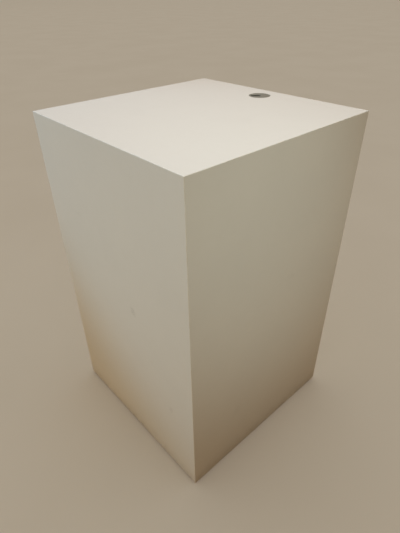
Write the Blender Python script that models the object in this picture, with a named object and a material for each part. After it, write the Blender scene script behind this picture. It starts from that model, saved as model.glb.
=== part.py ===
"""Display plinth: a mitred MDF box on four glides, with a cable grommet let into its top.

The box is five mitred boards, glued and screwed from inside to softwood posts, battens and rails. It is
open underneath. A cable drops through the grommet and leaves by an arch at the foot of the back board.

Frame: metres, +Z up, the origin on the floor at the centre of the base, the front facing -Y.
"""

import math

import bmesh
import bpy
from mathutils import Matrix, Vector

MM = 0.001

# Box
WIDTH = 610 * MM  # outside, square on plan: half of a 1220 mm sheet
HEIGHT = 1000 * MM  # floor to display surface
FLOOR_GAP = 6 * MM  # the glides hold the box this far off the floor
BOARD = 18 * MM  # MDF
ARRIS = 1.5 * MM  # radius sanded on every outside edge
TOUCH = 0.3 * MM  # clearance between pieces that meet

# Softwood frame
BATTEN = 34 * MM  # square section of the posts and the top battens
RAIL_HEIGHT = 44 * MM
GROMMET_CLEARANCE = 60 * MM  # the back battens stop this far from the grommet's axis

# Cable arch, at the foot of the back board
ARCH_RADIUS = 25 * MM
ARCH_STRAIGHT = 10 * MM

# Wood screws, countersunk
SCREW_RADIUS = 2 * MM
HEAD_RADIUS = 4 * MM
HEAD_RIM = 0.3 * MM
HEAD_SINK = 0.3 * MM  # the heads lie this far under the wood's face
LONG_SCREW = 45 * MM  # through a batten into a board
GLIDE_SCREW = 30 * MM
SCREW_SIDES = 12

# Glides
GLIDE_RADIUS = 14 * MM
GLIDE_FOOT_RADIUS = 12.5 * MM
GLIDE_HEAD_SINK = 1.2 * MM  # the screw's head stays this far off the floor
GLIDE_SIDES = 32

# Cable grommet. Its heights run down from its own face.
GROMMET_SETBACK = 65 * MM  # back edge of the top to the grommet's axis
FACE_SINK = 0.2 * MM  # its face lies this far under the display surface
SLOT_HEADING = math.radians(226)  # where the cable slot points, anticlockwise from +X
BORE_RADIUS = 27 * MM
FLANGE_RADIUS = 30.5 * MM
FLANGE_THICK = 2 * MM
SLEEVE_RADIUS = 25 * MM  # inside
SLEEVE_DEPTH = 17 * MM
LEDGE_RADIUS = 23.4 * MM
LEDGE_DEPTH = 4.8 * MM
PLASTIC = 1.6 * MM  # wall of the sleeve's ledge, the insert and the cap's skirt
RUN = 0.4 * MM  # clearance between the pieces that lift or turn
CAP_THICK = 2 * MM
CAP_SKIRT = 4.8 * MM  # face to the foot of the skirt
INSERT_DEPTH = 8.2 * MM
BEAD = 0.65 * MM  # how far the bead that holds the cap stands out
SLOT_WIDTH = 14 * MM
SLOT_END = 3 * MM  # axis to the centre of the slot's round end
FLOOR_EDGE = 4 * MM  # the insert is open from here to its rim, under the slot
GROMMET_SIDES = 48

# What follows from them
HALF = WIDTH / 2
INNER = HALF - BOARD  # inside face of a side board
POST_CENTRE = INNER - TOUCH - BATTEN / 2
POST_FACE = INNER - TOUCH - BATTEN  # inner face of a post, batten or rail
UNDER_TOP = HEIGHT - BOARD - TOUCH
BATTEN_LOW = UNDER_TOP - BATTEN
GROMMET_Y = HALF - GROMMET_SETBACK
OUTSIDE = -5 * MM  # a board's wedge starts this far outside the box, and the box's own face trims it

SIDES = {
    "front": Vector((0, -1, 0)),
    "back": Vector((0, 1, 0)),
    "left": Vector((-1, 0, 0)),
    "right": Vector((1, 0, 0)),
}
CORNERS = {f"{fb}_{lr}": (SIDES[fb], SIDES[lr]) for fb in ("front", "back") for lr in ("left", "right")}


def clear_scene():
    for item in list(bpy.data.objects):
        bpy.data.objects.remove(item, do_unlink=True)


def material(name, colour, roughness, metallic=0.0):
    made = bpy.data.materials.new(name)
    made.use_nodes = True
    shader = made.node_tree.nodes["Principled BSDF"]
    shader.inputs["Base Color"].default_value = (*colour, 1)
    shader.inputs["Roughness"].default_value = roughness
    shader.inputs["Metallic"].default_value = metallic
    return made


def make_materials():
    return {
        "paint": material("white_matt_paint", (0.80, 0.77, 0.72), 0.62),
        "softwood": material("planed_softwood", (0.66, 0.47, 0.27), 0.70),
        "grommet": material("grey_abs", (0.26, 0.26, 0.25), 0.45),
        "nylon": material("white_nylon", (0.72, 0.70, 0.64), 0.50),
        "screw": material("yellow_zinc", (0.63, 0.52, 0.30), 0.35, 1.0),
    }


def add_object(name, mesh, finish=None, parent=None):
    item = bpy.data.objects.new(name, mesh)
    bpy.context.scene.collection.objects.link(item)
    if finish and not mesh.materials:
        mesh.materials.append(finish)
    item.parent = parent
    return item


def add_empty(name, location, turn=0.0):
    item = bpy.data.objects.new(name, None)
    bpy.context.scene.collection.objects.link(item)
    item.location = location
    item.rotation_euler.z = turn
    return item


def as_helper(item):
    """Marks a cutter or a guide, which isn't a piece of the object."""
    item.hide_render = True
    item.display_type = "WIRE"
    return item


def mesh_of(name, shape):
    """Turns a bmesh into a mesh with its faces pointing out."""
    bmesh.ops.recalc_face_normals(shape, faces=shape.faces)
    mesh = bpy.data.meshes.new(name)
    shape.to_mesh(mesh)
    shape.free()
    return mesh


def box_mesh(name, low, high):
    low, high = Vector(low), Vector(high)
    shape = bmesh.new()
    bmesh.ops.create_cube(shape, size=1.0)
    place = Matrix.Translation((low + high) / 2) @ Matrix.Diagonal((*(high - low), 1))
    bmesh.ops.transform(shape, matrix=place, verts=shape.verts)
    return mesh_of(name, shape)


def loft_mesh(name, start, end):
    """A solid between two outlines that have as many points as each other."""
    shape = bmesh.new()
    near = [shape.verts.new(point) for point in start]
    far = [shape.verts.new(point) for point in end]
    shape.faces.new(near)
    shape.faces.new(far)
    for i in range(len(near)):
        shape.faces.new((near[i - 1], near[i], far[i], far[i - 1]))
    return mesh_of(name, shape)


def prism_mesh(name, outline, low, high):
    """A closed outline of (x, y) points, extruded from one height to another."""
    return loft_mesh(name, [(x, y, low) for x, y in outline], [(x, y, high) for x, y in outline])


def turned_mesh(name, profile, sides):
    """Turns a closed outline of (radius, height) points about Z. A point on the axis stays one point."""
    shape = bmesh.new()
    turns = [math.tau * i / sides for i in range(sides)]
    rings = []
    for radius, height in profile:
        if radius > 0:
            ring = [shape.verts.new((radius * math.cos(a), radius * math.sin(a), height)) for a in turns]
        else:
            ring = [shape.verts.new((0, 0, height))] * sides
        rings.append(ring)
    for i, ring in enumerate(rings):
        for j in range(sides):
            quad = (rings[i - 1][j - 1], rings[i - 1][j], ring[j], ring[j - 1])
            corners = list(dict.fromkeys(quad))
            if len(corners) > 2:
                shape.faces.new(corners)
    mesh = mesh_of(name, shape)
    mesh.shade_smooth()
    mesh.set_sharp_from_angle(angle=math.radians(35))
    return mesh


def arc(centre, radius, start, end, steps):
    """Points on an arc, in degrees, both ends included."""
    angles = [math.radians(start + (end - start) * i / steps) for i in range(steps + 1)]
    return [(centre[0] + radius * math.cos(a), centre[1] + radius * math.sin(a)) for a in angles]


def boolean(item, other, operation="DIFFERENCE"):
    modifier = item.modifiers.new(other.name, "BOOLEAN")
    modifier.operation = operation
    modifier.solver = "EXACT"
    modifier.object = other


# ---------------------------------------------------------------- boards


def rounded_box():
    """The whole box as one solid, its arrises sanded round. Each board is what its mitres leave of it."""
    mesh = box_mesh("rounded_box", (-HALF, -HALF, FLOOR_GAP), (HALF, HALF, HEIGHT))
    item = as_helper(add_object("rounded_box", mesh))
    bevel = item.modifiers.new("arris", "BEVEL")
    bevel.width = ARRIS
    bevel.segments = 3
    return item


def half_width(depth):
    """Half of a board's width at a depth inside its face, just short of the mitre plane."""
    return HALF - depth - TOUCH / math.sqrt(2)


def side_board(name, normal, form, finish):
    across = Vector((-normal.y, normal.x, 0))
    outlines = []
    for depth in (OUTSIDE, BOARD):
        middle = normal * (HALF - depth)
        reach = half_width(depth)
        left, right = middle - across * reach, middle + across * reach
        foot, head = FLOOR_GAP + OUTSIDE, HEIGHT - HALF + reach
        corners = ((left, foot), (right, foot), (right, head), (left, head))
        outlines.append([(corner.x, corner.y, level) for corner, level in corners])
    board = add_object(name, loft_mesh(name, *outlines), finish)
    boolean(board, form, "INTERSECT")
    return board


def top_board(form, finish):
    outlines = []
    for depth in (OUTSIDE, BOARD):
        reach = half_width(depth)
        corners = ((-reach, -reach), (reach, -reach), (reach, reach), (-reach, reach))
        outlines.append([(x, y, HEIGHT - depth) for x, y in corners])
    board = add_object("top_panel", loft_mesh("top_panel", *outlines), finish)
    boolean(board, form, "INTERSECT")
    seat = -FACE_SINK - FLANGE_THICK - TOUCH
    mouth = FLANGE_RADIUS + TOUCH
    low, high = -2 * BOARD, BOARD
    profile = [(0, low), (BORE_RADIUS, low), (BORE_RADIUS, seat), (mouth, seat), (mouth, high), (0, high)]
    bore = as_helper(add_object("grommet_bore", turned_mesh("grommet_bore", profile, GROMMET_SIDES)))
    bore.location = (0, GROMMET_Y, HEIGHT)
    boolean(board, bore)
    return board


def cable_arch():
    """Cutter for the arch: straight sides under a half round, right through the back board and its rail."""
    spring = FLOOR_GAP + ARCH_STRAIGHT
    feet = [(-ARCH_RADIUS, -FLOOR_GAP), (ARCH_RADIUS, -FLOOR_GAP)]
    outline = [*feet, *arc((0, spring), ARCH_RADIUS, 0, 180, 16)]
    mesh = prism_mesh("cable_arch", outline, -HALF - BOARD, -POST_FACE + BOARD)
    item = as_helper(add_object("cable_arch", mesh))
    item.rotation_euler.x = math.radians(90)  # its own +Z then runs towards the front
    return item


def make_boards(finish):
    form = rounded_box()
    boards = {side: side_board(f"{side}_panel", normal, form, finish) for side, normal in SIDES.items()}
    boards["top"] = top_board(form, finish)
    return boards


# ---------------------------------------------------------------- softwood frame


def make_posts(finish):
    posts = {}
    for corner, (along_y, along_x) in CORNERS.items():
        centre = (along_x + along_y) * POST_CENTRE
        half = Vector((BATTEN / 2, BATTEN / 2, 0))
        low = centre - half + Vector((0, 0, FLOOR_GAP))
        high = centre + half + Vector((0, 0, UNDER_TOP))
        name = f"corner_post_{corner}"
        posts[corner] = add_object(name, box_mesh(name, low, high), finish)
    return posts


def frame_bar(name, normal, start, end, low, high, finish):
    """A bar against one side board, between two distances along it from its middle."""
    along = Vector((abs(normal.y), abs(normal.x), 0))
    corners = [normal * near + along * far for near, far in ((POST_FACE, start), (INNER - TOUCH, end))]
    lowest = Vector((min(c.x for c in corners), min(c.y for c in corners), low))
    highest = Vector((max(c.x for c in corners), max(c.y for c in corners), high))
    return add_object(name, box_mesh(name, lowest, highest), finish)


def make_battens(finish):
    """Battens under the top, between the posts. The back one is in two, clear of the grommet."""
    reach = POST_FACE - TOUCH
    spans = {side: (-reach, reach) for side in ("front", "left", "right")}
    spans["back_left"] = (-reach, -GROMMET_CLEARANCE)
    spans["back_right"] = (GROMMET_CLEARANCE, reach)
    battens = {}
    for place, (start, end) in spans.items():
        normal = SIDES[place.split("_")[0]]
        battens[place] = frame_bar(f"top_batten_{place}", normal, start, end, BATTEN_LOW, UNDER_TOP, finish)
    return battens


def make_rails(finish):
    reach = POST_FACE - TOUCH
    top = FLOOR_GAP + RAIL_HEIGHT
    return {
        side: frame_bar(f"base_rail_{side}", normal, -reach, reach, FLOOR_GAP, top, finish)
        for side, normal in SIDES.items()
    }


# ---------------------------------------------------------------- screws


def screw_profile(length, grow=0.0, above=0.0):
    """A countersunk screw's outline, its head at height 0, its point below. grow makes it a hole's."""
    shank = SCREW_RADIUS + grow
    head = HEAD_RADIUS + grow
    neck = -(HEAD_RIM + HEAD_RADIUS - SCREW_RADIUS + grow)
    return [
        (0, above),
        (head, above),
        (head, -HEAD_RIM - grow / 2),
        (shank, neck - grow / 2),
        (shank, -length + 3 * SCREW_RADIUS),
        (0, -length - grow),
    ]


class ScrewDriver:
    """Drives screws of one length. Each screw and each hole shares its mesh with the others."""

    def __init__(self, length, finish):
        self.screw = turned_mesh(f"screw_{length / MM:.0f}", screw_profile(length), SCREW_SIDES)
        hole = screw_profile(length, TOUCH, BOARD)
        self.hole = turned_mesh(f"screw_hole_{length / MM:.0f}", hole, SCREW_SIDES)
        self.finish = finish

    def drive(self, name, head, direction, *through):
        """Puts a screw with its head at a point, and cuts its hole in the pieces that it goes through."""
        screw = add_object(name, self.screw, self.finish)
        hole = as_helper(add_object(f"{name}_hole", self.hole))
        for item in (screw, hole):
            item.location = head
            item.rotation_euler = Vector(direction).to_track_quat("-Z", "Y").to_euler()
        for piece in through:
            boolean(piece, hole)


def screw_posts(driver, posts, boards):
    """Two screws from each post into each of its boards, at heights that keep them clear of each other."""
    levels = {"low": 0.16 * HEIGHT, "high": 0.84 * HEIGHT}
    stagger = 30 * MM
    for corner, (along_y, along_x) in CORNERS.items():
        side_y, side_x = corner.split("_")
        for board, normal, other, lift in (
            (side_y, along_y, along_x, 0),
            (side_x, along_x, along_y, stagger),
        ):
            for level, height in levels.items():
                head = normal * (POST_FACE + HEAD_SINK) + other * POST_CENTRE
                head.z = height + lift
                name = f"screw_post_{corner}_{board}_{level}"
                driver.drive(name, head, normal, posts[corner], boards[board])


def screw_battens(driver, battens, boards):
    """Screws up through the battens into the top."""
    spread = 150 * MM
    places = {side: (-spread, spread) for side in ("front", "left", "right")}
    places.update({"back_left": (-spread,), "back_right": (spread,)})
    for place, offsets in places.items():
        normal = SIDES[place.split("_")[0]]
        along = Vector((abs(normal.y), abs(normal.x), 0))
        for number, offset in enumerate(offsets, 1):
            head = normal * POST_CENTRE + along * offset
            head.z = BATTEN_LOW + HEAD_SINK
            name = f"screw_batten_{place}" + (f"_{number}" if len(offsets) > 1 else "")
            driver.drive(name, head, (0, 0, 1), battens[place], boards["top"])


def screw_rails(driver, rails, boards):
    """One screw through the middle of each rail, and two either side of the arch in the back one."""
    beside_arch = 120 * MM
    for side, normal in SIDES.items():
        along = Vector((abs(normal.y), abs(normal.x), 0))
        offsets = {"": 0} if side != "back" else {"_left": -beside_arch, "_right": beside_arch}
        for label, offset in offsets.items():
            head = normal * (POST_FACE + HEAD_SINK) + along * offset
            head.z = FLOOR_GAP + RAIL_HEIGHT / 2
            driver.drive(f"screw_rail_{side}{label}", head, normal, rails[side], boards[side])


# ---------------------------------------------------------------- glides


def glide_profile():
    """A low disc with a rounded foot and a countersunk hole."""
    top = FLOOR_GAP - TOUCH
    hole = SCREW_RADIUS + TOUCH
    mouth = HEAD_RADIUS + TOUCH
    seat = GLIDE_HEAD_SINK + HEAD_RIM + TOUCH / 2
    corner = GLIDE_RADIUS - GLIDE_FOOT_RADIUS
    foot = arc((GLIDE_FOOT_RADIUS, corner), corner, 0, -90, 3)
    return [(hole, seat + mouth - hole), (hole, top), (GLIDE_RADIUS, top), *foot, (mouth, 0), (mouth, seat)]


def make_glides(driver, posts, finish):
    mesh = turned_mesh("glide", glide_profile(), GLIDE_SIDES)
    for corner, (along_y, along_x) in CORNERS.items():
        place = (along_x + along_y) * POST_CENTRE
        glide = add_object(f"glide_{corner}", mesh, finish)
        glide.location = place
        place.z = GLIDE_HEAD_SINK
        driver.drive(f"screw_glide_{corner}", place, (0, 0, 1), posts[corner])


# ---------------------------------------------------------------- cable grommet


def sleeve_profile():
    """The fixed sleeve: a flange let into the top, a wall down the bore, and a ledge for the insert."""
    outer = BORE_RADIUS - TOUCH
    ease = 0.4 * MM  # the flange's edges are eased
    foot = -LEDGE_DEPTH - PLASTIC
    return [
        (outer, -SLEEVE_DEPTH),
        (outer, -FLANGE_THICK),
        (FLANGE_RADIUS, -FLANGE_THICK),
        (FLANGE_RADIUS, -ease),
        (FLANGE_RADIUS - ease, 0),
        (SLEEVE_RADIUS + ease, 0),
        (SLEEVE_RADIUS, -ease),
        (SLEEVE_RADIUS, -LEDGE_DEPTH),
        (LEDGE_RADIUS, -LEDGE_DEPTH),
        (LEDGE_RADIUS, foot),
        (SLEEVE_RADIUS, foot - SLEEVE_RADIUS + LEDGE_RADIUS),
        (SLEEVE_RADIUS, -SLEEVE_DEPTH),
    ]


INSERT_RADIUS = SLEEVE_RADIUS - RUN
INSERT_FOOT_RADIUS = LEDGE_RADIUS - RUN
INSERT_WALL = INSERT_RADIUS - 2 * MM  # inside of the ring, where the cap's skirt turns
INSERT_HOLE = INSERT_FOOT_RADIUS - PLASTIC
INSERT_FLOOR = 1.4 * MM
SKIRT_RADIUS = INSERT_WALL - RUN
SNAP_HEIGHT = -3.6 * MM  # the bead's middle


def insert_profile():
    """The lift-out insert: a ring on the sleeve's ledge, a groove for the cap's bead, and a floor."""
    lip = -CAP_SKIRT - RUN
    return [
        (0, -INSERT_DEPTH),
        (INSERT_FOOT_RADIUS, -INSERT_DEPTH),
        (INSERT_FOOT_RADIUS, -LEDGE_DEPTH + TOUCH),
        (INSERT_RADIUS, -LEDGE_DEPTH + TOUCH),
        (INSERT_RADIUS, -CAP_THICK - TOUCH),
        (INSERT_WALL, -CAP_THICK - TOUCH),
        (INSERT_WALL, SNAP_HEIGHT + BEAD),
        (INSERT_WALL + BEAD, SNAP_HEIGHT + BEAD / 2),
        (INSERT_WALL + BEAD, SNAP_HEIGHT - BEAD / 2),
        (INSERT_WALL, SNAP_HEIGHT - BEAD),
        (INSERT_WALL, lip),
        (INSERT_HOLE, lip),
        (INSERT_HOLE, INSERT_FLOOR - INSERT_DEPTH),
        (0, INSERT_FLOOR - INSERT_DEPTH),
    ]


def cap_profile():
    """The turning cap: a disc level with the flange, and a skirt with a bead for the insert's groove."""
    ease = 0.5 * MM
    return [
        (0, -CAP_THICK),
        (SKIRT_RADIUS - PLASTIC, -CAP_THICK),
        (SKIRT_RADIUS - PLASTIC, -CAP_SKIRT),
        (SKIRT_RADIUS, -CAP_SKIRT),
        (SKIRT_RADIUS, SNAP_HEIGHT - BEAD / 2),
        (SKIRT_RADIUS + BEAD, SNAP_HEIGHT),
        (SKIRT_RADIUS, SNAP_HEIGHT + BEAD / 2),
        (SKIRT_RADIUS, -CAP_THICK),
        (INSERT_RADIUS, -CAP_THICK),
        (INSERT_RADIUS, -ease),
        (INSERT_RADIUS - ease, 0),
        (0, 0),
    ]


def insert_floor_cutter(axis):
    """Leaves the insert's floor under the blind side only, so half a turn of the cap closes the slot."""
    reach = INSERT_HOLE - TOUCH
    end = math.degrees(math.acos(FLOOR_EDGE / reach))
    outline = arc((0, 0), reach, -end, end, 20)
    mesh = prism_mesh("insert_opening", outline, -2 * INSERT_DEPTH, -CAP_SKIRT)
    return as_helper(add_object("insert_opening", mesh, parent=axis))


def slot_cutter(axis):
    radius = SLOT_WIDTH / 2
    outline = [(FLANGE_RADIUS, -radius), (FLANGE_RADIUS, radius), *arc((SLOT_END, 0), radius, 90, 270, 12)]
    mesh = prism_mesh("cap_slot", outline, -2 * CAP_SKIRT, CAP_SKIRT)
    return as_helper(add_object("cap_slot", mesh, parent=axis))


def make_grommet(finish):
    """Hangs all three pieces on the cap's axis."""
    axis = add_empty("grommet_axis", (0, GROMMET_Y, HEIGHT - FACE_SINK), SLOT_HEADING)
    profiles = {
        "grommet_sleeve": sleeve_profile(),
        "grommet_insert": insert_profile(),
        "grommet_cap": cap_profile(),
    }
    pieces = {
        name: add_object(name, turned_mesh(name, profile, GROMMET_SIDES), finish, axis)
        for name, profile in profiles.items()
    }
    boolean(pieces["grommet_insert"], insert_floor_cutter(axis))
    boolean(pieces["grommet_cap"], slot_cutter(axis))


def main():
    clear_scene()
    finishes = make_materials()
    boards = make_boards(finishes["paint"])
    posts = make_posts(finishes["softwood"])
    battens = make_battens(finishes["softwood"])
    rails = make_rails(finishes["softwood"])
    arch = cable_arch()
    boolean(boards["back"], arch)
    boolean(rails["back"], arch)
    long_screws = ScrewDriver(LONG_SCREW, finishes["screw"])
    screw_posts(long_screws, posts, boards)
    screw_battens(long_screws, battens, boards)
    screw_rails(long_screws, rails, boards)
    make_glides(ScrewDriver(GLIDE_SCREW, finishes["screw"]), posts, finishes["nylon"])
    make_grommet(finishes["grommet"])


main()
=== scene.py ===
"""The looks of the display plinth: painted boards, softwood frame, screws, glides and cable grommet.

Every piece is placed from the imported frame. Units are metres, +Z is up, and the front faces -Y.
"""

import math
import random

import bmesh
import bpy
from mathutils import Matrix, Vector, noise


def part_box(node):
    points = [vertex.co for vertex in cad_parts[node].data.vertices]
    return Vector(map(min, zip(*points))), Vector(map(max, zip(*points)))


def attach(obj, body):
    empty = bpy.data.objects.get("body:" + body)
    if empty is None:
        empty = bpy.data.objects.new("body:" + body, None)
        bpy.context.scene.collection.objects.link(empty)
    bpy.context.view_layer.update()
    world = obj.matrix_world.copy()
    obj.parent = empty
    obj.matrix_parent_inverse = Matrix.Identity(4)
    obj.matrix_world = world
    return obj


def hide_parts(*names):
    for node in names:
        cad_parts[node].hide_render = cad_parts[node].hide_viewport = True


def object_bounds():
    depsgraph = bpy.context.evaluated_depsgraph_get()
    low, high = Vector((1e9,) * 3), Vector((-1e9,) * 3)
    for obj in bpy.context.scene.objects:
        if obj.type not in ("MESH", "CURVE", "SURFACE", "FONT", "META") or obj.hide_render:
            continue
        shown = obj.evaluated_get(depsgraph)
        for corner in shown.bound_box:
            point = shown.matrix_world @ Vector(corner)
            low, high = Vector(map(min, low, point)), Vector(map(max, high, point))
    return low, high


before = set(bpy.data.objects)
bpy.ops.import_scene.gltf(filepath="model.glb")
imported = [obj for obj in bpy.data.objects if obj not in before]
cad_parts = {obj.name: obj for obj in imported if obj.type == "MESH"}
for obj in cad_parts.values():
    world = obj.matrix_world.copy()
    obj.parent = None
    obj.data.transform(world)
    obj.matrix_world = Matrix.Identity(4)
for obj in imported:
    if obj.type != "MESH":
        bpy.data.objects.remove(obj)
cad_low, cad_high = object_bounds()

MM = 0.001

# ---------------------------------------------------------------- what the frame gives

HALF = cad_high.x
HEIGHT = cad_high.z
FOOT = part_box("front_panel")[0].z  # the boards' lower edge
INNER = -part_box("front_panel")[1].y  # inside face of the side boards
BOARD = HALF - INNER
SLEEVE_LOW, SLEEVE_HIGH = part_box("grommet_sleeve")
GROMMET_AXIS = Vector(((SLEEVE_LOW.x + SLEEVE_HIGH.x) / 2, (SLEEVE_LOW.y + SLEEVE_HIGH.y) / 2, SLEEVE_HIGH.z))
FLANGE_RADIUS = (SLEEVE_HIGH.x - SLEEVE_LOW.x) / 2
SLEEVE_DEPTH = SLEEVE_HIGH.z - SLEEVE_LOW.z

# ---------------------------------------------------------------- design values

ARRIS = 1.5 * MM
ARRIS_STEPS = 6
ARCH_RADIUS = 25 * MM
ARCH_STRAIGHT = 10 * MM
ARCH_EASE = 0.8 * MM
TIMBER_EASE = 1.2 * MM  # planed softwood's rounded corners
TIMBER_END_EASE = 0.35 * MM

HEAD_RADIUS = 4 * MM
HEAD_RIM = 0.3 * MM  # the upright edge of a screw's head
SHANK_RADIUS = 2 * MM  # over the thread
CORE_RADIUS = 1.35 * MM
PITCH = 1.8 * MM
THREAD_WIDTH = 0.26  # half the thread's base, as a share of the pitch
POINT_LENGTH = 7 * MM
HEAD_DEPTH = HEAD_RIM + HEAD_RADIUS - SHANK_RADIUS

TOUCH = 0.3 * MM  # clearance between pieces that meet
PLASTIC = 1.6 * MM  # wall of the grommet's ledge, insert and skirt
FLANGE_LIP = 3.5 * MM  # how far the flange overlaps the edge of the bore
LEDGE_DEPTH = 4.8 * MM
CAP_RADIUS = 24.6 * MM
CAP_THICK = 2 * MM  # and the flange's
CAP_SKIRT = 4.8 * MM
SNAP_HEIGHT = -3.6 * MM  # the bead that holds the cap in its groove
SNAP_BEAD = 0.65 * MM
GROMMET_SIDES = 144
SLOT_HEADING = math.radians(226)
SLOT_WIDTH = 14 * MM
SLOT_END = 3 * MM  # from the axis to the centre of the slot's round end
SLOT_STEPS = 28

FLOOR_RADIUS = 70
SPOT_RADIUS = 0.22

CAMERA_PLACE = Vector((0.8177, -0.7283, 1.2731))
CAMERA_HEADING = math.radians(48.314)
CAMERA_TILT = math.radians(-34.662)
CAMERA_ROLL = math.radians(-0.939)
CAMERA_LENS = 27.9  # this and the sensor are in mm
CAMERA_SENSOR = 36

SIDES = {
    "front": Vector((0, -1, 0)),
    "back": Vector((0, 1, 0)),
    "left": Vector((-1, 0, 0)),
    "right": Vector((1, 0, 0)),
}

dice = random.Random(7)


# ---------------------------------------------------------------- shader graphs


class Graph:
    """A material and its nodes. Each call adds a node and gives back its output socket."""

    def __init__(self, name):
        self.material = bpy.data.materials.new(name)
        self.material.use_nodes = True
        self.tree = self.material.node_tree
        self.shader = self.tree.nodes["Principled BSDF"]

    def add(self, kind, inputs, output=0, **settings):
        node = self.tree.nodes.new(kind)
        for key, value in settings.items():
            setattr(node, key, value)
        for key, value in inputs.items():
            self.plug(node.inputs[key], value)
        return node.outputs[output]

    def plug(self, socket, value):
        if isinstance(value, bpy.types.NodeSocket):
            self.tree.links.new(value, socket)
        elif socket.type == "RGBA" and len(value) == 3:
            socket.default_value = (*value, 1)
        else:
            socket.default_value = value

    def set(self, **values):
        for key, value in values.items():
            self.plug(self.shader.inputs[key.replace("_", " ")], value)

    def where(self):
        return self.add("ShaderNodeTexCoord", {}, "Object")

    def axes(self, vector):
        node = self.tree.nodes.new("ShaderNodeSeparateXYZ")
        self.plug(node.inputs[0], vector)
        return node.outputs

    def vector(self, x, y, z):
        return self.add("ShaderNodeCombineXYZ", {0: x, 1: y, 2: z})

    def math(self, operation, a, b=0.0, c=0.0):
        return self.add("ShaderNodeMath", {0: a, 1: b, 2: c}, operation=operation)

    def stretch(self, vector, scale):
        return self.add("ShaderNodeMapping", {"Vector": vector, "Scale": scale})

    def scaled(self, axes, x, y, z):
        """A vector from three separate axes, each with its own scale."""
        scales = (x, y, z)
        return self.vector(*(self.math("MULTIPLY", axis, scale) for axis, scale in zip(axes, scales)))

    def noise(self, vector, scale, detail=3.0, roughness=0.5, distortion=0.0):
        inputs = {
            "Vector": vector,
            "Scale": scale,
            "Detail": detail,
            "Roughness": roughness,
            "Distortion": distortion,
        }
        return self.add("ShaderNodeTexNoise", inputs, "Fac")

    def span(self, value, low, high, to_low=0.0, to_high=1.0):
        """Maps a range of values smoothly onto another, and holds it at both ends."""
        inputs = {
            "Value": value,
            "From Min": low,
            "From Max": high,
            "To Min": to_low,
            "To Max": to_high,
        }
        return self.add("ShaderNodeMapRange", inputs, interpolation_type="SMOOTHSTEP")

    def mix(self, share, a, b):
        node = self.tree.nodes.new("ShaderNodeMix")
        node.data_type = "RGBA"
        self.plug(node.inputs["Factor"], share)
        self.plug(node.inputs[6], a)
        self.plug(node.inputs[7], b)
        return node.outputs[2]

    def bump(self, height, distance):
        return self.add("ShaderNodeBump", {"Height": height, "Distance": distance, "Strength": 1.0})


def edge_distances(g, where):
    """How far a point is inside the painted skin, and how far along the skin from the nearest arris."""
    x, y, z = g.axes(where)
    a = g.math("SUBTRACT", HALF, g.math("ABSOLUTE", x))
    b = g.math("SUBTRACT", HALF, g.math("ABSOLUTE", y))
    below_top = g.math("SUBTRACT", HEIGHT, z)
    low, high = g.math("MINIMUM", a, b), g.math("MAXIMUM", a, b)
    depth = g.math("MINIMUM", low, below_top)
    nearest_end = g.math("MINIMUM", below_top, g.math("SUBTRACT", z, FOOT))
    return depth, g.math("MAXIMUM", low, g.math("MINIMUM", high, nearest_end))


def smear(g, where, centre, size, turn):
    """A soft patch on a board's face, broken up as a rub or a handprint is."""
    local = g.add("ShaderNodeMapping", {"Vector": where, "Location": [-v for v in centre]})
    local = g.add("ShaderNodeMapping", {"Vector": local, "Rotation": turn})
    local = g.add("ShaderNodeMapping", {"Vector": local, "Scale": [1 / s for s in size]})
    distance = g.add("ShaderNodeVectorMath", {0: local}, "Value", operation="LENGTH")
    grain = g.span(g.noise(where, 240, 4, 0.7), 0.35, 0.7)
    return g.math("MULTIPLY", g.span(distance, 1.0, 0.25), grain)


PAINT = (0.79, 0.775, 0.735)
PAINT_WORN = (0.66, 0.61, 0.53)
# the tone that the boards darken to towards the floor
LOW_DARK_TONE = (0.24, 0.20, 0.15)


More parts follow.
